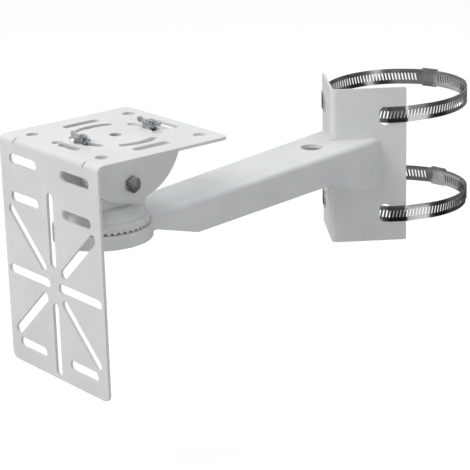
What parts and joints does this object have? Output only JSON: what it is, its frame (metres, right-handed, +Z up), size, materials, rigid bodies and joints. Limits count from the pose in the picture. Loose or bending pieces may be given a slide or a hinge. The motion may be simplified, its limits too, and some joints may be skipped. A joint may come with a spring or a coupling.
{
  "type": "camera corner mount",
  "caption": "Bracket that straps to a pole with worm-drive clamps and carries an L-shaped camera plate on a pan and tilt head at the end of an arm.",
  "frame": {"origin": "on the pole's axis, level with the middle of the corner plate", "axes": "+Z up along the pole, the arm points along -Y, +X to the right seen from the camera plate's end"},
  "size_m": [0.1317, 0.4543, 0.169],
  "materials": {
    "white_powder_coat": "satin",
    "zinc_plated_steel": "bright",
    "dark_plated_steel": "dull",
    "stainless_steel": "bright"
  },
  "bodies": {
    "bracket": {"corner_plate": "white_powder_coat", "arm": "white_powder_coat", "upper_band": "stainless_steel", "upper_housing": "stainless_steel", "lower_band": "stainless_steel", "lower_housing": "stainless_steel"},
    "pan_head": {"turret": "white_powder_coat", "pan_bolt": "zinc_plated_steel", "pan_lock_washer": "zinc_plated_steel", "pan_washer": "zinc_plated_steel"},
    "tilt_head": {"tilt_yoke": "white_powder_coat", "tilt_bolt": "dark_plated_steel", "tilt_washer": "zinc_plated_steel", "tilt_lock_washer": "zinc_plated_steel", "tilt_nut": "zinc_plated_steel", "plate_bolts": "zinc_plated_steel", "plate_washers": "zinc_plated_steel"},
    "swivel_plate": {"camera_plate": "white_powder_coat"},
    "front_nut": {"front_wing_nut": "zinc_plated_steel"},
    "rear_nut": {"rear_wing_nut": "zinc_plated_steel"},
    "upper_clamp_screw": {"upper_screw": "zinc_plated_steel"},
    "lower_clamp_screw": {"lower_screw": "zinc_plated_steel"}
  },
  "joints": [
    {"name": "pan", "type": "hinge", "parent": "bracket", "child": "pan_head", "pos_m": [0, -0.33615, 0.0199], "axis": [0, 0, 1], "range_deg": [-60, 79]},
    {"name": "tilt", "type": "hinge", "parent": "pan_head", "child": "tilt_head", "pos_m": [0.00241, -0.32205, 0.0475], "axis": [0.9857, -0.1685, 0], "range_deg": [-30, 7]},
    {"name": "plate_swivel", "type": "hinge", "parent": "tilt_head", "child": "swivel_plate", "pos_m": [0.00241, -0.32205, 0.0791], "axis": [0, 0, 1], "range_deg": [-32, 32]},
    {"name": "front_nut_turn", "type": "hinge", "parent": "tilt_head", "child": "front_nut", "pos_m": [-0.00241, -0.35025, 0.0801], "axis": [0, 0, 1], "continuous": true},
    {"name": "rear_nut_turn", "type": "hinge", "parent": "tilt_head", "child": "rear_nut", "pos_m": [0.00723, -0.29386, 0.0801], "axis": [0, 0, 1], "continuous": true},
    {"name": "upper_screw_turn", "type": "hinge", "parent": "bracket", "child": "upper_clamp_screw", "pos_m": [-0.00762, 0.06203, 0.04369], "axis": [-0.9925, -0.1219, 0], "continuous": true},
    {"name": "lower_screw_turn", "type": "hinge", "parent": "bracket", "child": "lower_clamp_screw", "pos_m": [0.00218, 0.06246, -0.0403], "axis": [-0.9994, 0.0349, 0], "continuous": true}
  ]
}
